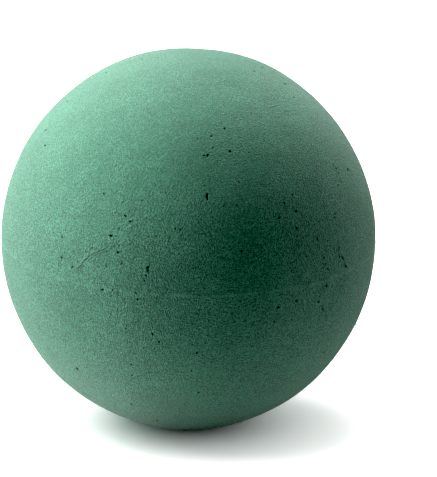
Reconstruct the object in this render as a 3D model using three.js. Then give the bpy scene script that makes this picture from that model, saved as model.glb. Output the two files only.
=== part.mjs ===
// A ball of stiff floral foam, made of two halves that meet face to face at a level parting
// line. A low ridge runs round the ball at that line, and the foot of the ball is crushed to a
// small flat that it rests on.
// Millimetres, +Z up. The origin is the centre of the resting flat, on the ball's axis.

import * as THREE from 'three';

// Driving dimensions
const EQUATOR_DIAMETER = 120;
const POLAR_DIAMETER = 122.6;
const RESTING_FLAT_DIAMETER = 16;
const RIDGE_HEIGHT = 0.1;
const RIDGE_WIDTH = 1.6;

// Fineness of the faceted skin
const SIDES = 72;
const RINGS_PER_HALF = 17;
const RIDGE_STEPS = 2;

// Worked-out dimensions
const EQUATOR_RADIUS = EQUATOR_DIAMETER / 2;
const POLAR_RADIUS = POLAR_DIAMETER / 2;
const RESTING_FLAT_RADIUS = RESTING_FLAT_DIAMETER / 2;
const RIDGE_REACH = RIDGE_WIDTH / 2;
const POLE_ANGLE = Math.PI / 2;
const FLAT_ANGLE = Math.acos(RESTING_FLAT_RADIUS / EQUATOR_RADIUS);
const PARTING_HEIGHT = POLAR_RADIUS * Math.sin(FLAT_ANGLE);

const FOAM_COLOUR = 0x4d8a6a;
const FOAM_ROUGHNESS = 0.95;

// Radius of the ball's skin at a distance from the parting plane, ridge included.
function skinRadius(distance) {
  const ball = EQUATOR_RADIUS * Math.sqrt(1 - (distance / POLAR_RADIUS) ** 2);
  const nearness = Math.max(0, 1 - distance / RIDGE_REACH);
  const ridge = RIDGE_HEIGHT * (1 - Math.cos(Math.PI * nearness)) / 2;
  return ball + ridge;
}

// Points of the skin from the parting plane out to lastAngle, as radius and distance from the
// plane: a few across the ridge, then rings at even angles.
function skinPoints(lastAngle) {
  const distances = [];
  for (let step = 0; step < RIDGE_STEPS; step += 1) {
    distances.push(RIDGE_REACH * step / RIDGE_STEPS);
  }
  const firstAngle = Math.asin(RIDGE_REACH / POLAR_RADIUS);
  for (let ring = 0; ring <= RINGS_PER_HALF; ring += 1) {
    const angle = firstAngle + (lastAngle - firstAngle) * ring / RINGS_PER_HALF;
    distances.push(POLAR_RADIUS * Math.sin(angle));
  }
  return distances.map((distance) => new THREE.Vector2(skinRadius(distance), distance));
}

// From the middle of the bonding face, out over the ridge and up to the top of the ball.
function upperProfile() {
  const bondingFaceCentre = new THREE.Vector2(0, 0);
  return [bondingFaceCentre, ...skinPoints(POLE_ANGLE)];
}

// From the middle of the resting flat, up to the ridge and in over the bonding face.
function lowerProfile() {
  const restingFlatCentre = new THREE.Vector2(0, -PARTING_HEIGHT);
  const bondingFaceCentre = new THREE.Vector2(0, 0);
  const skin = skinPoints(FLAT_ANGLE).reverse();
  const mirrored = skin.map((point) => new THREE.Vector2(point.x, -point.y));
  return [restingFlatCentre, ...mirrored, bondingFaceCentre];
}

function foamMaterial() {
  return new THREE.MeshStandardMaterial({
    color: FOAM_COLOUR,
    roughness: FOAM_ROUGHNESS,
    metalness: 0,
  });
}

// A half is its profile turned about the ball's axis, set with its bonding face at the
// parting plane.
function foamHalf(name, profile) {
  const geometry = new THREE.LatheGeometry(profile, SIDES);
  geometry.rotateX(Math.PI / 2);
  const half = new THREE.Mesh(geometry, foamMaterial());
  half.name = name;
  half.position.z = PARTING_HEIGHT;
  return half;
}

const foamBall = new THREE.Group();
foamBall.add(foamHalf('lower_half', lowerProfile()));
foamBall.add(foamHalf('upper_half', upperProfile()));

export default foamBall;
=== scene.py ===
"""The looks of a floral foam ball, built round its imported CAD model.

Each CAD half is stood for by a foam skin of the same size. A skin is a fine mesh with relief in
it: the ridge at the parting line, pinholes where cells have burst, creases, nail and finger
marks, clinging crumbs and small dimples. The pebbles, the grain and the finest open cells are in
the foam material.

Lengths are in metres, in the frame of the CAD model: +Z up, the ball's front towards -Y. A place
on the ball is (azimuth, latitude) in degrees: azimuth 0 is the front and 90 the right-hand side,
latitude 0 is the parting line and 90 the top.
"""

import math

import bpy
import numpy as np
from mathutils import Matrix, Vector


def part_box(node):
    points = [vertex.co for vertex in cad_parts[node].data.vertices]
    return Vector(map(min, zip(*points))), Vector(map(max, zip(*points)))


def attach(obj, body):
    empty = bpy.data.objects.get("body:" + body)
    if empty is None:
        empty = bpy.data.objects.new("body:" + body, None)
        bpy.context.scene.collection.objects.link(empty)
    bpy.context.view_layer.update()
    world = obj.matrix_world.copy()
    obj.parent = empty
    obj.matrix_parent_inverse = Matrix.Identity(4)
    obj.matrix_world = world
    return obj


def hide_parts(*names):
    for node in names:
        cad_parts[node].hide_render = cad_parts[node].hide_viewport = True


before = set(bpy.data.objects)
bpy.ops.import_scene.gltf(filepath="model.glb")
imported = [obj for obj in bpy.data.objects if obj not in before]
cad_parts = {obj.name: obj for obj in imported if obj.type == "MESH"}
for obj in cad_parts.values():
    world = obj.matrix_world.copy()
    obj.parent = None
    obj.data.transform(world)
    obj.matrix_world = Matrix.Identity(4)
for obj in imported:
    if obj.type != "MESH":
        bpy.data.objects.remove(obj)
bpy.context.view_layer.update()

MM = 0.001

# --- The ball, from the frame ---------------------------------------------------------------
# The CAD model's ridge at the parting line: its height, and how far it reaches to each side.
RIDGE_HEIGHT = 0.1 * MM
RIDGE_REACH = 0.8 * MM
# The share of that height that the skin shows, and the painted highlight: how much paler the
# ridge's colour is made.
RIDGE_SHARE = 0.75
RIDGE_PAINTED_HIGHLIGHT = 0.60
# The size of the stretches over which the ridge's painted highlight comes and goes.
RIDGE_STRETCH = 6 * MM

lower_low, lower_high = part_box("lower_half")
_, upper_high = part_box("upper_half")
FLOOR_Z = lower_low.z
PARTING_Z = lower_high.z
EQUATOR_RADIUS = lower_high.x - RIDGE_HEIGHT
POLAR_RADIUS = upper_high.z - PARTING_Z
CENTRE = Vector((0, 0, PARTING_Z))

# --- Fineness of the skins ------------------------------------------------------------------
RINGS = 170
PLAIN_EDGE = 1.1 * MM
PIT_EDGE = 0.15 * MM
CREASE_EDGE = 0.17 * MM
REFINING_PASSES = 3
# How fast the edges lengthen away from a mark, as a share of the distance from it.
EDGE_GROWTH = 0.7

# --- Marks ----------------------------------------------------------------------------------
# Most of the front's marks were picked out on the photo by eye, and a separate script turned
# their places into degrees, to the nearest half. The marks at the back are made up.

# Pinholes that stand out on the front: azimuth, latitude, width in millimetres.
FRONT_PITS = [
    (6.5, 30, 1.1), (6.5, 29, 0.9), (6, 29.5, 0.55), (-30.5, 28, 0.8), (-21, 22.5, 0.85),
    (-20, 24, 0.6), (-19, 21, 0.8), (-22.5, 18.5, 0.55), (-25, 16, 1.05), (-43, 12.5, 0.75),
    (-22, 11.5, 0.9), (-42, 6.5, 0.8), (-37.5, 4.5, 0.75), (-26.5, -0.5, 0.95), (-23, 0, 0.65),
    (-21.5, -0.5, 0.5), (-15.5, 0, 0.65), (-15, -2, 0.85), (-12, 8, 1), (-12, 7, 0.8),
    (-12.5, 5.5, 0.7), (-13, 4, 0.55), (-11.5, 9, 0.5), (-23.5, -2, 0.5), (-25.5, 7, 0.6),
    (-20.5, 8.5, 0.5), (-31, 11.5, 0.5), (-29, 2.5, 0.5), (-10, 17.5, 0.5), (-8.5, 26, 0.5),
    (-16, 27.5, 0.5), (-33.5, 25.5, 0.5), (7.5, 42.5, 0.95), (6, 42.5, 0.6), (17, 43.5, 0.8),
    (25, 42.5, 0.5), (22.5, 40, 0.5), (18.5, 33.5, 0.6), (5.5, 33, 0.5), (16.5, 26.5, 0.75),
    (12, 26.5, 0.5), (-0.5, 26.5, 0.5), (-4, 20, 0.7), (-2.5, 19.5, 0.65), (34, 25.5, 0.8),
    (38, 27.5, 0.75), (38, 22.5, 0.85), (31, 21.5, 0.85), (37, 17.5, 0.8), (17, 13, 0.9),
    (20, 9.5, 0.55), (16, 15.5, 0.5), (24.5, 10, 0.5), (47.5, -2, 1), (35.5, -4.5, 0.95),
    (29, -5.5, 0.9), (28, -10, 0.7), (34.5, -10.5, 0.5), (52.5, -16.5, 0.5), (44.5, 13, 0.65),
    (49, 11.5, 0.55), (75.5, 6.5, 0.6), (34, 12, 0.5), (-43, -32, 1), (-10.5, -13, 0.8),
    (-8.5, -15.5, 0.8), (-10, -18, 0.6), (-18.5, -25, 0.75), (-19, -29.5, 0.7), (3.5, -19, 0.8),
    (2, -26, 0.7), (5, -36, 0.85), (-24, -45.5, 0.9), (-19, -12, 0.6), (6, -15.5, 0.55),
    (2, -16, 0.6), (17, 51.5, 0.75), (3.5, 48, 0.6), (10, 49, 0.65), (10, 45, 0.6),
    (-8, 30.5, 0.6), (75.5, 55.5, 0.7), (61.5, 26, 0.6), (54.5, 18.5, 0.6), (54, 17.5, 0.6),
    (54.5, -26.5, 0.85), (24.5, -10, 0.6), (-43, -62, 0.7),
]

# Fine cracks and scratches: width and depth in millimetres, then the places they run through.
CREASES = [
    (0.27, 0.30, [(-35.5, 4.5), (-33.5, 6.5), (-32, 8.5), (-30, 10), (-28, 11), (-25.5, 12.5),
                  (-23, 13.5)]),
    (0.22, 0.16, [(-30.5, 9), (-28, 10.2), (-26, 11.2), (-24, 12)]),
    (0.26, 0.22, [(-42, 6), (-40.5, 6.5), (-39, 6.5), (-38, 8), (-37, 9)]),
    (0.26, 0.14, [(-38.5, 1.5), (-37, 3), (-35, 5)]),
    (0.30, 0.20, [(-21.5, -33.5), (-18, -30), (-14.5, -28.5), (-11.5, -27)]),
    (0.36, 0.22, [(36.5, 9.5), (39, 10), (41, 10.5)]),
    (0.34, 0.16, [(-97, 47), (-92, 46), (-86, 44)]),
    (0.34, 0.18, [(-92, 28), (-87, 26), (-82, 27)]),
    (0.30, 0.20, [(-60, -17), (-57, -19), (-54, -21)]),
    (0.30, 0.20, [(-53, -44), (-51, -46), (-48, -47)]),
    (0.36, 0.16, [(63, 33), (65, 30), (64, 26)]),
    (0.34, 0.20, [(140, 32), (144, 35), (149, 36), (153, 39)]),
    (0.34, 0.20, [(-150, -12), (-146, -15), (-141, -15)]),
]

# Nail and finger marks on the right, in the same form: wider than the cracks.
NAIL_MARKS = [
    (0.46, 0.36, [(46.5, 7), (46.5, 6), (47, 4.5), (48, 3), (49, 1.5)]),
    (0.40, 0.20, [(51, 9), (51.5, 7.5), (52, 6)]),
    (0.38, 0.18, [(53.5, 9), (53.5, 7), (53.5, 5)]),
    (0.46, 0.36, [(54.5, 5.5), (55.5, 4), (56.5, 2), (57.5, 1)]),
    (0.36, 0.18, [(46.5, -0.7), (46.5, -1.5), (47, -2.5)]),
    (0.44, 0.24, [(46, -3.5), (45, -4.5), (44.5, -5)]),
    (0.46, 0.38, [(44, -6), (45, -7), (46.5, -9), (49, -12.5)]),
    (0.38, 0.18, [(50, -10.5), (51.5, -9), (53, -8)]),
    (0.38, 0.18, [(52.5, -12), (54.5, -10.5), (56.5, -10)]),
]

# Broad, shallow hollows that fingers have pressed: azimuth, latitude, and radius and depth in
# millimetres.
HOLLOWS = [
    (-29, 61, 6.0, 0.10), (31, 67, 6.5, 0.12), (46, 45, 7.0, 0.12), (35, 12, 5.0, 0.10),
    (52, -2, 6.5, 0.16), (-70, 5, 7.0, 0.10), (-35, -15, 8.0, 0.08), (150, 20, 7.5, 0.14),
    (170, -25, 7.0, 0.12), (110, 40, 6.0, 0.12), (-140, 35, 7.0, 0.12), (-120, -20, 6.5, 0.12),
]

# Pale crumbs of foam that cling to the skin: azimuth, latitude, width in millimetres.
FRONT_CRUMBS = [
    (59.5, 59, 0.5), (52, 56.5, 0.45), (50.5, 52.5, 0.45), (57.5, 53.5, 0.55), (57.5, 40, 0.55),
    (59.5, 39, 0.4), (55.5, 34, 0.55), (19, -44, 0.5), (21, -46, 0.45), (24.5, -48, 0.45),
]

# Creases and marks: how far a line strays, the height of its lip as a share of its depth, the
# painted shade that darkens its groove, the depth at which that painted shade is full, and the
# size of the gaps where it fades.
WANDER = 0.07 * MM
WANDER_SIZE = 1.8 * MM
LIP_SHARE = 0.25
GROOVE_PAINTED_SHADE = 0.85
FULL_SHADE_DEPTH = 0.3 * MM
GAP_SIZE = 1.5 * MM

# Marks at random places, with widths in millimetres. Small pits are the commonest. None lies on
# the parting line, and no pit in the front, where FRONT_PITS has its own.
SCATTER_SEED = 20
SCATTERED_PITS = 300
PIT_WIDTHS = (0.45, 1.05)
PIT_WIDTH_BIAS = 1.7
PIT_DEPTHS = (1.1, 1.6)
SCATTERED_CRUMBS = 60
CRUMB_WIDTHS = (0.3, 0.5)
# How far a crumb stands out, as a share of its radius.
CRUMB_HEIGHT = 0.9
FRONT_HALF_WIDTH = 70
FRONT_LOWEST = -55
SEAM_CLEARANCE = 1.3

# --- Shape of the plain skin ----------------------------------------------------------------
# Slow waves: wavelength, height and seed.
WAVES = [(34 * MM, 0.10 * MM, 1), (9 * MM, 0.015 * MM, 2)]
# Small dimples, weaker on the lower half and uneven from place to place.
DIMPLE_SIZE = 3.0 * MM
DIMPLE_HEIGHT = 0.009 * MM
LOWER_DIMPLING = 0.6
DIMPLE_UNEVENNESS = 0.35
UNEVENNESS_SIZE = 25 * MM

# --- Camera ---------------------------------------------------------------------------------
CAMERA_ELEVATION = 17.5
CAMERA_ROLL = 1.0
CAMERA_DISTANCE = 3.6
SENSOR_LONG_SIDE = 36.0
BALL_WIDTH_IN_FRAME_HEIGHT = 0.785
BALL_LEFT_IN_FRAME_HEIGHT = 0.063


# --- Geometry helpers -----------------------------------------------------------------------
def direction(azimuth, latitude):
    """Unit vector from the ball's centre to a place on it."""
    a = math.radians(azimuth)
    b = math.radians(latitude)
    return np.array((math.sin(a) * math.cos(b), -math.cos(a) * math.cos(b), math.sin(b)))


def half_ball_grid(rings, sign):
    """Unit directions and triangles of half a sphere, from its pole to its equator.

    Ring k lies at an even step of latitude and has 4k points, so the triangles stay near
    equilateral and the last ring lies exactly on the equator. sign is 1 for the upper half and
    -1 for the lower.
    """
    points = [(0.0, 0.0, float(sign))]
    for k in range(1, rings + 1):
        tilt = math.pi / 2 * k / rings
        height = 0.0 if k == rings else math.cos(tilt)
        turn = np.arange(4 * k) * (math.pi / 2 / k)
        ring = np.stack((math.sin(tilt) * np.cos(turn), math.sin(tilt) * np.sin(turn),
                         np.full(4 * k, sign * height)), 1)
        points.extend(ring.tolist())

    def index(k, quarter, j):
        return 0 if k == 0 else 1 + 2 * k * (k - 1) + (quarter * k + j) % (4 * k)

    triangles = []
    for k in range(rings):
        for quarter in range(4):
            for j in range(k + 1):
                triangles.append((index(k, quarter, j), index(k + 1, quarter, j),
                                  index(k + 1, quarter, j + 1)))
            for j in range(k):
                triangles.append((index(k, quarter, j), index(k + 1, quarter, j + 1),
                                  index(k, quarter, j + 1)))
    triangles = np.array(triangles)
    if sign < 0:
        triangles = triangles[:, ::-1]
    return np.array(points), triangles


def split_long_edges(points, triangles, wanted):
    """One pass of refinement: halves every edge longer than wanted(middle) and reconnects."""
    pairs = np.sort(np.concatenate((triangles[:, [0, 1]], triangles[:, [1, 2]],
                                    triangles[:, [2, 0]])), 1)
    edges, where = np.unique(pairs, axis=0, return_inverse=True)
    middles = points[edges[:, 0]] + points[edges[:, 1]]
    middles /= np.linalg.norm(middles, axis=1)[:, None]
    lengths = np.linalg.norm(points[edges[:, 0]] - points[edges[:, 1]], axis=1) * EQUATOR_RADIUS
    halved = lengths > wanted(middles)
    new_index = np.full(len(edges), -1)
    new_index[halved] = len(points) + np.arange(halved.sum())
    points = np.concatenate((points, middles[halved]))
    mid = new_index[where.reshape(3, -1).T]
    count = (mid >= 0).sum(1)

    made = [triangles[count == 0]]
    for wanted_count in (1, 2):
        for turn in range(3):
            t = np.roll(triangles, -turn, axis=1)
            m = np.roll(mid, -turn, axis=1)
            if wanted_count == 1:
                pick = (count == 1) & (m[:, 0] >= 0)
                t, m = t[pick], m[pick]
                made.append(np.stack((t[:, 0], m[:, 0], t[:, 2]), 1))
                made.append(np.stack((m[:, 0], t[:, 1], t[:, 2]), 1))
            else:
                pick = (count == 2) & (m[:, 2] < 0)
                t, m = t[pick], m[pick]
                made.append(np.stack((m[:, 0], t[:, 1], m[:, 1]), 1))
                made.append(np.stack((t[:, 0], m[:, 0], m[:, 1]), 1))
                made.append(np.stack((t[:, 0], m[:, 1], t[:, 2]), 1))
    t, m = triangles[count == 3], mid[count == 3]
    made.append(np.stack((t[:, 0], m[:, 0], m[:, 2]), 1))
    made.append(np.stack((m[:, 0], t[:, 1], m[:, 1]), 1))
    made.append(np.stack((m[:, 2], m[:, 1], t[:, 2]), 1))
    made.append(m)
    return points, np.concatenate(made)


def smooth_step(x):
    x = np.clip(x, 0, 1)
    return x * x * (3 - 2 * x)


def random_waves(points, wavelength, seed, waves=48):
    """A smooth random height with a spread of 1, whose bumps are about a wavelength across."""
    rng = np.random.default_rng(seed)
    total = np.zeros(len(points))
    for _ in range(waves):
        axis = rng.normal(size=3)
        axis /= np.linalg.norm(axis)
        pitch = wavelength * rng.uniform(0.7, 1.5)
        total += np.cos(points @ axis * (2 * math.pi / pitch) + rng.uniform(0, 2 * math.pi))
    return total * math.sqrt(2 / waves)


# --- Marks ----------------------------------------------------------------------------------
def scattered_places(rng, count):
    """Random places, even over the whole ball, as azimuth and latitude in degrees."""
    azimuths = rng.uniform(-180, 180, count)
    latitudes = np.degrees(np.arcsin(rng.uniform(-1, 1, count)))
    return zip(azimuths, latitudes)


def clear_of_seam(latitude, width):
    distance = abs(math.radians(latitude)) * EQUATOR_RADIUS / MM
    return distance > SEAM_CLEARANCE + width / 2


def all_pits():
    """Every pinhole as (direction, radius, depth, lobes), where lobes shape its outline."""
    rng = np.random.default_rng(SCATTER_SEED)
    chosen = list(FRONT_PITS)
    smallest, largest = PIT_WIDTHS
    for azimuth, latitude in scattered_places(rng, SCATTERED_PITS):
        width = smallest + (largest - smallest) * rng.uniform() ** PIT_WIDTH_BIAS
        in_front = abs(azimuth) < FRONT_HALF_WIDTH and latitude > FRONT_LOWEST
        if clear_of_seam(latitude, width) and not in_front:
            chosen.append((azimuth, latitude, width))
    pits = []
    for azimuth, latitude, width in chosen:
        radius = width / 2 * MM
        depth = radius * rng.uniform(*PIT_DEPTHS)
        lobes = rng.uniform((0.05, 0.03, 0, 0), (0.28, 0.16, 2 * math.pi, 2 * math.pi))
        pits.append((direction(azimuth, latitude), radius, depth, lobes))
    return pits


def all_crumbs():
    """Every clinging crumb as (direction, radius)."""
    rng = np.random.default_rng(SCATTER_SEED + 1)
    chosen = list(FRONT_CRUMBS)
    for azimuth, latitude in scattered_places(rng, SCATTERED_CRUMBS):
        width = rng.uniform(*CRUMB_WIDTHS)
        if clear_of_seam(latitude, width):
            chosen.append((azimuth, latitude, width))
    return [(direction(azimuth, latitude), width / 2 * MM) for azimuth, latitude, width in chosen]


PITS = all_pits()
CRUMBS = all_crumbs()
LINES = [
    (width * MM, depth * MM, np.array([direction(*place) for place in places]))
    for width, depth, places in CREASES + NAIL_MARKS
]


def nearby(points, centre, reach):
    """Indices of the points within reach of a direction, and their distances from it."""
    along = points @ centre
    close = np.flatnonzero(along > math.cos(reach / EQUATOR_RADIUS))
    return close, np.arccos(np.clip(along[close], -1, 1)) * EQUATOR_RADIUS


def distance_to_line(points, path):
    """Distance from each point to a path of short straight stretches over the ball."""
    best = np.full(len(points), np.inf)
    for start, end in zip(path[:-1], path[1:]):
        run = end - start
        share = np.clip((points - start) @ run / (run @ run), 0, 1)
        gap = np.linalg.norm(points - (start + share[:, None] * run), axis=1)
        best = np.minimum(best, gap * EQUATOR_RADIUS)
    return best


def near_line(points, path, reach):
    """Indices of the points near a path, and their distances from it."""
    middle = path.mean(0)
    middle /= np.linalg.norm(middle)
    span = max(math.acos(min(1.0, float(p @ middle))) for p in path) * EQUATOR_RADIUS
    close, _ = nearby(points, middle, span + reach)
    distances = distance_to_line(points[close], path)
    kept = distances < reach
    return close[kept], distances[kept]


def wandering(points):
    """The same directions, shaken a little, so that a line drawn through them isn't straight."""
    places = points * EQUATOR_RADIUS
    shake = [random_waves(places, WANDER_SIZE, seed, waves=12) for seed in (11, 12, 13)]
    return points + WANDER / EQUATOR_RADIUS * np.stack(shake, 1)


def wanted_edge(points):
    """The longest edge allowed at each place: fine at pinholes, crumbs, creases and marks."""
    edge = np.full(len(points), PLAIN_EDGE)
    for centre, radius, *_ in PITS + CRUMBS:
        close, distance = nearby(points, centre, radius * 4 + 0.6 * MM)
        growth = PIT_EDGE + np.maximum(0, distance - 1.3 * radius) * EDGE_GROWTH
        edge[close] = np.minimum(edge[close], growth)
    for width, _, path in LINES:
        close, distance = near_line(points, path, 2.5 * width + 0.4 * MM)
        growth = CREASE_EDGE + np.maximum(0, distance - width) * EDGE_GROWTH
        edge[close] = np.minimum(edge[close], growth)
    return edge


def tangents(centre):
    """Two unit vectors along the skin at a direction."""
    east = np.cross((0.0, 0.0, 1.0), centre)
    if np.linalg.norm(east) < 1e-6:
        east = np.array((1.0, 0.0, 0.0))
    east /= np.linalg.norm(east)
    return east, np.cross(centre, east)


def relief(points):
    """Height of the skin above the plain ball, and its tone: painted shade in pinholes and grooves
    below 0; above 0, the ridge's painted highlight and pale crumbs.
    """
    places = points * EQUATOR_RADIUS
    from_seam = np.abs(points[:, 2]) * POLAR_RADIUS
    height = np.zeros(len(points))
    tone = np.zeros(len(points))

    for wavelength, swell, seed in WAVES:
        height += swell * random_waves(places, wavelength, seed)
    strength = np.where(points[:, 2] > 0, 1.0, LOWER_DIMPLING)
    strength *= 1 + DIMPLE_UNEVENNESS * random_waves(places, UNEVENNESS_SIZE, 5)
    height += strength * DIMPLE_HEIGHT * random_waves(places, DIMPLE_SIZE, 3)

    for azimuth, latitude, radius, depth in HOLLOWS:
        close, distance = nearby(points, direction(azimuth, latitude), radius * MM)
        height[close] -= depth * MM * smooth_step(1 - distance / (radius * MM))

    strayed = wandering(points)
    for width, depth, path in LINES:
        close, distance = near_line(strayed, path, 2.5 * width)
        groove = np.exp(-((distance / (0.5 * width)) ** 2))
        lip = np.exp(-(((distance - 1.3 * width) / (0.6 * width)) ** 2))
        patchy = smooth_step(0.70 + 0.50 * random_waves(places[close], GAP_SIZE, 6))
        height[close] += depth * patchy * (LIP_SHARE * lip - groove)
        # Painted shade: the groove's colour is darkened, more where it is deeper.
        shade = GROOVE_PAINTED_SHADE * min(1.0, depth / FULL_SHADE_DEPTH)
        tone[close] = np.minimum(tone[close], -shade * patchy * groove)

    height *= smooth_step(from_seam / (2 * RIDGE_REACH))
    at_ridge = smooth_step(1 - from_seam / RIDGE_REACH)
    height += RIDGE_HEIGHT * RIDGE_SHARE * at_ridge
    # Painted highlight: the colour along the ridge is made paler, in stretches.
    tone += RIDGE_PAINTED_HIGHLIGHT * at_ridge * smooth_step(0.5 + 0.4 * random_waves(places, RIDGE_STRETCH, 7))

    for centre, radius, depth, (two, three, turn_two, turn_three) in PITS:
        close, distance = nearby(points, centre, radius * 1.8)
        east, north = tangents(centre)
        angle = np.arctan2(points[close] @ north, points[close] @ east)
        outline = 1 + two * np.cos(2 * angle + turn_two) + three * np.cos(3 * angle + turn_three)
        bowl = smooth_step(1.7 * (1 - distance / (radius * outline * 1.1)))
        height[close] -= depth * bowl
        # Painted shade: each pinhole's colour is darkened towards its middle.
        tone[close] = np.minimum(tone[close], -bowl)

    for centre, radius in CRUMBS:
        close, distance = nearby(points, centre, radius)
        crumb = np.sqrt(np.clip(1 - (distance / radius) ** 2, 0, 1))
        height[close] += CRUMB_HEIGHT * radius * crumb
        tone[close] = np.maximum(tone[close], np.minimum(1.0, 2 * crumb))
    return height, tone


# --- Skins ----------------------------------------------------------------------------------
def skin_places(points, height):
    """Places of the skin: the plain ball moved out by the relief, and flat where it rests."""
    radii = np.array((EQUATOR_RADIUS, EQUATOR_RADIUS, POLAR_RADIUS))
    outward = points / radii
    outward /= np.linalg.norm(outward, axis=1)[:, None]
    at_seam = points[:, 2] == 0
    outward[at_seam, 2] = 0
    places = points * radii + np.array(CENTRE) + outward * height[:, None]
    places[:, 2] = np.maximum(places[:, 2], FLOOR_Z)
    places[at_seam, 2] = PARTING_Z
    return places


def bonding_face(triangles, centre_index):
    """Triangles that close a skin with a flat face, from its open rim to the middle."""
    edges = np.concatenate((triangles[:, [0, 1]], triangles[:, [1, 2]], triangles[:, [2, 0]]))
    codes = edges[:, 0] * (centre_index + 1) + edges[:, 1]
    mirrored = edges[:, 1] * (centre_index + 1) + edges[:, 0]
    rim = edges[~np.isin(codes, mirrored)]
    return np.stack((rim[:, 1], rim[:, 0], np.full(len(rim), centre_index)), 1), rim


def foam_half(name, sign, material):
    """One half of the ball as a closed mesh, with its tone in the point attribute painted_light_and_crumbs."""
    points, triangles = half_ball_grid(RINGS, sign)
    for _ in range(REFINING_PASSES):
        points, triangles = split_long_edges(points, triangles, wanted_edge)
    height, tone = relief(points)
    places = skin_places(points, height)
    face, rim = bonding_face(triangles, len(places))
    places = np.concatenate((places, [CENTRE]))
    tone = np.append(tone, 0.0)

    mesh = bpy.data.meshes.new(name)
    mesh.from_pydata(places.tolist(), [], np.concatenate((triangles, face)).tolist())
    mesh.shade_smooth()
    attribute = mesh.attributes.new("painted_light_and_crumbs", "FLOAT", "POINT")
    attribute.data.foreach_set("value", tone.astype(np.float32))
    rim_keys = {tuple(sorted(pair)) for pair in rim.tolist()}
    for edge in mesh.edges:
        if tuple(sorted(edge.vertices)) in rim_keys:
            edge.use_edge_sharp = True
    mesh.materials.append(material)
    half = bpy.data.objects.new(name, mesh)
    bpy.context.scene.collection.objects.link(half)
    print(f"{name}: {len(mesh.polygons)} triangles")
    return half


# --- Materials ------------------------------------------------------------------------------
def node(tree, kind, **settings):
    """Adds a node. A setting named like an input gives that input's value."""
    made = tree.nodes.new(kind)
    for key, value in settings.items():
        if hasattr(made, key):
            setattr(made, key, value)
        else:
            made.inputs[key.replace("_", " ")].default_value = value
    return made


def noise(tree, place, size, detail=2.0, roughness=0.5):
    """A noise whose blobs are about size across."""
    made = node(tree, "ShaderNodeTexNoise", Scale=1 / size, Detail=detail, Roughness=roughness)
    tree.links.new(place, made.inputs["Vector"])
    return made.outputs["Fac"]


def scaled(tree, value, low, high, from_low=0.0, from_high=1.0):
    """A value stretched from one range to another and held within it."""
    made = node(tree, "ShaderNodeMapRange", From_Min=from_low, From_Max=from_high,
                To_Min=low, To_Max=high)
    tree.links.new(value, made.inputs["Value"])
    return made.outputs["Result"]


def arithmetic(tree, operation, a, b):
    """A Math node on two values, each a socket or a number."""
    made = tree.nodes.new("ShaderNodeMath")
    made.operation = operation
    for socket, value in zip(made.inputs, (a, b)):
        if isinstance(value, (int, float)):
            socket.default_value = value
        else:
            tree.links.new(value, socket)
    return made.outputs["Value"]


def mixed(tree, factor, a, b):
    """A colour between two, each a socket or an (r, g, b)."""
    made = tree.nodes.new("ShaderNodeMix")
    made.data_type = "RGBA"
    colour_a, colour_b = made.inputs[6], made.inputs[7]
    for socket, value in ((made.inputs[0], factor), (colour_a, a), (colour_b, b)):
        if isinstance(value, (int, float)):
            socket.default_value = value
        elif isinstance(value, tuple):
            socket.default_value = (*value, 1)
        else:
            tree.links.new(value, socket)
    return made.outputs[2]


FOAM_DARK = (0.0135, 0.100, 0.054)
FOAM_MIDDLE = (0.0485, 0.258, 0.151)
FOAM_PALE = (0.121, 0.430, 0.279)
# The next colour is painted shade: it darkens pinholes, grooves and open cells.
PAINTED_SHADE_GREEN = (0.003, 0.016, 0.010)
# The next colour is the crumbs' dust; the ridge's painted highlight reaches a little of it at its
# palest.
DUST_AND_RIDGE_HIGHLIGHT = (0.55, 0.70, 0.60)

# Sizes of the foam's patterns, and how far each of the softer ones shifts the tone.
BLOTCH_SIZE = 22 * MM
PATCH_SIZE = 8 * MM
PEBBLE_SIZE = 1.4 * MM
GRAIN_SIZE = 0.36 * MM
BLOTCH_TONE = 0.05
PATCH_TONE = 0.05
PEBBLE_TONE = 0.03
# The grain's contrast from patch to patch, and the roughness from grain to grain.
GRAIN_CONTRAST = (2.0, 2.8)
ROUGHNESSES = (0.78, 0.95)
# Open cells: spacing, radius, and the painted shade that darkens them.
SPECK_SPACING = 1.5 * MM
SPECK_RADIUS = 0.28 * MM
SPECK_PAINTED_SHADE = 0.6
# Bump: the grain's height, and the heights of the pebbles and cells as shares of it.
BUMP_HEIGHT = 0.46 * MM
PEBBLE_BUMP = 0.12
SPECK_BUMP = 0.3
# Towards the top the grain fades to this share of its strength, between these two heights.
SMOOTH_TOP = 0.65
SMOOTH_TOP_BAND = (PARTING_Z + 14 * MM, PARTING_Z + 36 * MM)


def open_cells(tree, place, spacing, radius):
    """Round specks where single cells lie open: 1 in a speck, 0 between them, unlike in depth."""
    cells = node(tree, "ShaderNodeTexVoronoi", Scale=1 / spacing, Randomness=1.0)
    tree.links.new(place, cells.inputs["Vector"])
    reach = radius / spacing
    specks = scaled(tree, cells.outputs["Distance"], 1.0, 0.0, 0.4 * reach, reach)
    apart = tree.nodes.new("ShaderNodeSeparateColor")
    tree.links.new(cells.outputs["Color"], apart.inputs["Color"])
    chosen = scaled(tree, apart.outputs["Red"], 0.0, 1.0, 0.35, 1.0)
    return arithmetic(tree, "MULTIPLY", specks, chosen)


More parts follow.
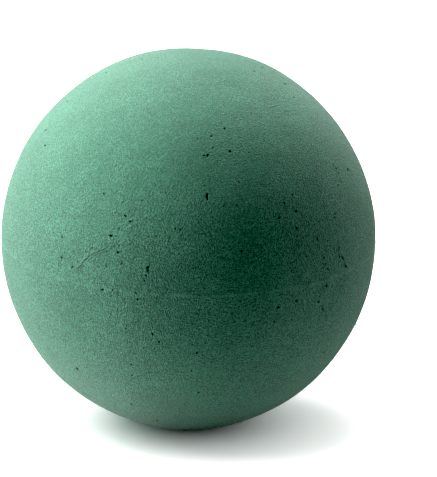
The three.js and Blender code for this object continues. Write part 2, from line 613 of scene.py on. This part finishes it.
def foam_material():
    """Dry floral foam: matte, pebbled and finely grained, pricked with tiny open cells."""
    material = bpy.data.materials.new("floral_foam")
    material.use_nodes = True
    tree = material.node_tree
    shader = tree.nodes["Principled BSDF"]
    place = tree.nodes.new("ShaderNodeTexCoord").outputs["Object"]
    apart = tree.nodes.new("ShaderNodeSeparateXYZ")
    tree.links.new(place, apart.inputs["Vector"])
    smoother = scaled(tree, apart.outputs["Z"], 1.0, SMOOTH_TOP, *SMOOTH_TOP_BAND)

    blotches = noise(tree, place, BLOTCH_SIZE, detail=3.0)
    patches = noise(tree, place, PATCH_SIZE, detail=2.0)
    pebbles = noise(tree, place, PEBBLE_SIZE, detail=1.0)
    grain = noise(tree, place, GRAIN_SIZE, detail=0.0)
    specks = open_cells(tree, place, SPECK_SPACING, SPECK_RADIUS)

    contrast = scaled(tree, patches, *GRAIN_CONTRAST, 0.35, 0.6)
    contrast = arithmetic(tree, "MULTIPLY", contrast, smoother)
    tone = arithmetic(tree, "MULTIPLY", arithmetic(tree, "SUBTRACT", grain, 0.5), contrast)
    layers = ((blotches, BLOTCH_TONE), (patches, PATCH_TONE), (pebbles, PEBBLE_TONE))
    for layer, weight in layers:
        tone = arithmetic(tree, "ADD", tone, scaled(tree, layer, -weight, weight, 0.3, 0.7))
    tone = arithmetic(tree, "ADD", tone, 0.5)
    colour = mixed(tree, scaled(tree, tone, 0.0, 1.0, 0.0, 0.5), FOAM_DARK, FOAM_MIDDLE)
    colour = mixed(tree, scaled(tree, tone, 0.0, 1.0, 0.5, 1.0), colour, FOAM_PALE)
    # Painted shade: the open cells' colour is darkened towards the deep green.
    colour = mixed(tree, arithmetic(tree, "MULTIPLY", specks, SPECK_PAINTED_SHADE), colour, PAINTED_SHADE_GREEN)

    # The marks' tone from the skins: painted shade below 0, and above 0 the ridge's painted
    # highlight and the pale crumbs.
    mark = node(tree, "ShaderNodeAttribute", attribute_name="painted_light_and_crumbs").outputs["Fac"]
    # Painted shade: pinholes and grooves darkened towards the deep green.
    colour = mixed(tree, scaled(tree, mark, 0.0, 0.95, 0.0, -0.8), colour, PAINTED_SHADE_GREEN)
    # Painted highlight on the ridge, and the crumbs' paleness.
    colour = mixed(tree, scaled(tree, mark, 0.0, 0.5, 0.0, 0.5), colour, FOAM_PALE)
    colour = mixed(tree, scaled(tree, mark, 0.0, 0.8, 0.55, 1.0), colour, DUST_AND_RIDGE_HIGHLIGHT)
    tree.links.new(colour, shader.inputs["Base Color"])
    tree.links.new(scaled(tree, grain, *ROUGHNESSES, 0.3, 0.7), shader.inputs["Roughness"])

    raised = arithmetic(tree, "MULTIPLY", pebbles, PEBBLE_BUMP)
    sunk = arithmetic(tree, "MULTIPLY", specks, SPECK_BUMP)
    relief_height = arithmetic(tree, "ADD", raised, grain)
    relief_height = arithmetic(tree, "SUBTRACT", relief_height, sunk)
    relief_height = arithmetic(tree, "MULTIPLY", relief_height, smoother)
    bump = node(tree, "ShaderNodeBump", Strength=1.0, Distance=BUMP_HEIGHT)
    tree.links.new(relief_height, bump.inputs["Height"])
    tree.links.new(bump.outputs["Normal"], shader.inputs["Normal"])
    shader.inputs["Specular IOR Level"].default_value = 0.7
    shader.inputs["Sheen Weight"].default_value = 0.30
    shader.inputs["Sheen Roughness"].default_value = 0.6
    return material


def floor_material():
    """White paper. The camera sees all of it bright, but what it throws back at the ball depends
    on the place: little from the floor in front, more from behind and from close by."""
    material = bpy.data.materials.new("white_floor")
    material.use_nodes = True
    tree = material.node_tree
    tree.nodes.remove(tree.nodes["Principled BSDF"])
    place = tree.nodes.new("ShaderNodeTexCoord").outputs["Object"]
    apart = tree.nodes.new("ShaderNodeSeparateXYZ")
    tree.links.new(place, apart.inputs["Vector"])
    behind = scaled(tree, apart.outputs["Y"], 0.0, 1.0, *BACK_BAND)
    away = tree.nodes.new("ShaderNodeVectorMath")
    away.operation = "LENGTH"
    tree.links.new(place, away.inputs[0])
    near = scaled(tree, away.outputs["Value"], 1.0, 0.0, *NEAR_BAND)
    thrown = mixed(tree, behind, FRONT_BOUNCE, BACK_BOUNCE)
    thrown = mixed(tree, near, thrown, NEAR_BOUNCE)
    bounce = node(tree, "ShaderNodeBsdfDiffuse")
    tree.links.new(thrown, bounce.inputs["Color"])
    seen = node(tree, "ShaderNodeBsdfDiffuse", Color=(PAPER_GAIN, PAPER_GAIN, PAPER_GAIN, 1))
    camera_ray = tree.nodes.new("ShaderNodeLightPath").outputs["Is Camera Ray"]
    mix = tree.nodes.new("ShaderNodeMixShader")
    tree.links.new(camera_ray, mix.inputs[0])
    tree.links.new(bounce.outputs[0], mix.inputs[1])
    tree.links.new(seen.outputs[0], mix.inputs[2])
    tree.links.new(mix.outputs[0], tree.nodes["Material Output"].inputs["Surface"])
    return material


# --- Stage ----------------------------------------------------------------------------------
FLOOR_SIZE = 12.0

PAPER_GAIN = 1.25
FRONT_BOUNCE = (0.135, 0.135, 0.135)
NEAR_BOUNCE = (0.40, 0.40, 0.40)
# Where the front floor gives way to the back floor, along Y, and the near floor to the rest, by
# distance from the ball's axis.
BACK_BAND = (-0.15, 0.10)
NEAR_BAND = (0.07, 0.13)
BACK_BOUNCE = (0.40, 0.40, 0.40)

# Softboxes that light the ball: azimuth, elevation, distance, width, height, watts, colour.
# The watts are rounded results of a least-squares fit of the ball's tones to the photo.
BALL_LAMPS = {
    "back_high": (180, 42, 1.4, 2.0, 0.8, 16.3, (1.0, 1.0, 1.0)),
    "left": (-110, 15, 1.2, 0.8, 0.9, 6.2, (1.0, 1.0, 1.0)),
    "left_front": (-75, 25, 1.2, 0.7, 0.7, 3.2, (1.0, 1.0, 1.0)),
    "left_low": (-85, 3, 1.2, 0.9, 0.3, 14.2, (1.0, 1.0, 1.0)),
    "right": (105, 10, 1.2, 0.5, 0.9, 2.8, (1.0, 1.0, 1.0)),
    "top_left": (-125, 62, 1.2, 0.9, 0.9, 15.6, (1.0, 1.0, 1.0)),
    "top_back": (170, 68, 1.2, 0.9, 0.9, 2.2, (1.0, 1.0, 1.0)),
}
# Softboxes that light only the floor.
FLOOR_LAMPS = {
    "floor_key": (-110, 62, 1.1, 1.6, 1.6, 28.0, (1.0, 1.0, 1.0)),
    "floor_sky": (0, 89, 0.8, 6.0, 6.0, 145.0, (1.0, 1.0, 1.0)),
}
# Light at or below this level shows black.
BLACK_LEVEL = 0.020


def add_floor():
    half = FLOOR_SIZE / 2
    mesh = bpy.data.meshes.new("floor")
    corners = [(-half, -half, FLOOR_Z), (half, -half, FLOOR_Z), (half, half, FLOOR_Z),
               (-half, half, FLOOR_Z)]
    mesh.from_pydata(corners, [], [(0, 1, 2, 3)])
    mesh.materials.append(floor_material())
    floor = bpy.data.objects.new("floor", mesh)
    bpy.context.scene.collection.objects.link(floor)
    return floor


def collection_of(name, objects):
    """A collection outside the scene's own tree, which names what a lamp lights."""
    made = bpy.data.collections.new(name)
    for each in objects:
        made.objects.link(each)
    return made


def add_lamp(name, lit, azimuth, elevation, distance, width, height, watts, colour):
    """A rectangular softbox that faces the ball and lights only what is in the collection lit."""
    data = bpy.data.lights.new(name, "AREA")
    data.shape = "RECTANGLE"
    data.size = width
    data.size_y = height
    data.energy = watts
    data.color = colour
    lamp = bpy.data.objects.new(name, data)
    lamp.location = CENTRE + Vector(direction(azimuth, elevation)) * distance
    lamp.rotation_euler = (CENTRE - lamp.location).to_track_quat("-Z", "Y").to_euler()
    lamp.visible_camera = False
    lamp.light_linking.receiver_collection = lit
    bpy.context.scene.collection.objects.link(lamp)


def add_world():
    """A room that gives no light, but looks white where the camera sees past the floor."""
    world = bpy.data.worlds.new("room")
    world.use_nodes = True
    tree = world.node_tree
    output = tree.nodes["World Output"]
    dark = tree.nodes["Background"]
    dark.inputs["Strength"].default_value = 0.0
    white = node(tree, "ShaderNodeBackground", Strength=1.0)
    seen = tree.nodes.new("ShaderNodeLightPath").outputs["Is Camera Ray"]
    mix = tree.nodes.new("ShaderNodeMixShader")
    tree.links.new(seen, mix.inputs[0])
    tree.links.new(dark.outputs[0], mix.inputs[1])
    tree.links.new(white.outputs[0], mix.inputs[2])
    tree.links.new(mix.outputs[0], output.inputs["Surface"])
    bpy.context.scene.world = world


def add_camera():
    """A long lens above the front, aimed to the right of the ball so that it sits to the left."""
    data = bpy.data.cameras.new("camera")
    data.sensor_width = SENSOR_LONG_SIDE
    half_width = SENSOR_LONG_SIDE * BALL_WIDTH_IN_FRAME_HEIGHT / 2
    limb = math.sqrt(CAMERA_DISTANCE ** 2 - EQUATOR_RADIUS ** 2)
    data.lens = half_width * limb / EQUATOR_RADIUS
    data.clip_end = 4 * FLOOR_SIZE
    camera = bpy.data.objects.new("camera", data)
    back = Vector(direction(0, CAMERA_ELEVATION))
    turned = (-back).to_track_quat("-Z", "Y").to_matrix() @ Matrix.Rotation(
        math.radians(CAMERA_ROLL), 3, "Z")
    frame_height = 2 * EQUATOR_RADIUS / BALL_WIDTH_IN_FRAME_HEIGHT
    aside = turned @ Vector((frame_height * BALL_LEFT_IN_FRAME_HEIGHT, 0, 0))
    camera.matrix_world = (Matrix.Translation(CENTRE + back * CAMERA_DISTANCE + aside)
                           @ turned.to_4x4())
    bpy.context.scene.collection.objects.link(camera)
    bpy.context.scene.camera = camera


def set_tone():
    """Plain tones, except that the deepest ones are darkened, down to black."""
    view = bpy.context.scene.view_settings
    view.view_transform = "Standard"
    view.use_curve_mapping = True
    view.curve_mapping.black_level = (BLACK_LEVEL, BLACK_LEVEL, BLACK_LEVEL)
    view.curve_mapping.update()


# --- The picture ----------------------------------------------------------------------------
# Each piece, the CAD node it stands for, and its side of the parting plane.
HALVES = [("lower_foam", "lower_half", -1), ("upper_foam", "upper_half", 1)]

foam = foam_material()
halves = []
for piece_name, node_name, side in HALVES:
    piece = foam_half(piece_name, side, foam)
    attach(piece, "root")
    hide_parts(node_name)
    halves.append(piece)

floor_lit = collection_of("floor_lit", [add_floor()])
ball_lit = collection_of("ball_lit", halves)
for lamp_name, settings in BALL_LAMPS.items():
    add_lamp(lamp_name, ball_lit, *settings)
for lamp_name, settings in FLOOR_LAMPS.items():
    add_lamp(lamp_name, floor_lit, *settings)
add_world()
add_camera()
set_tone()
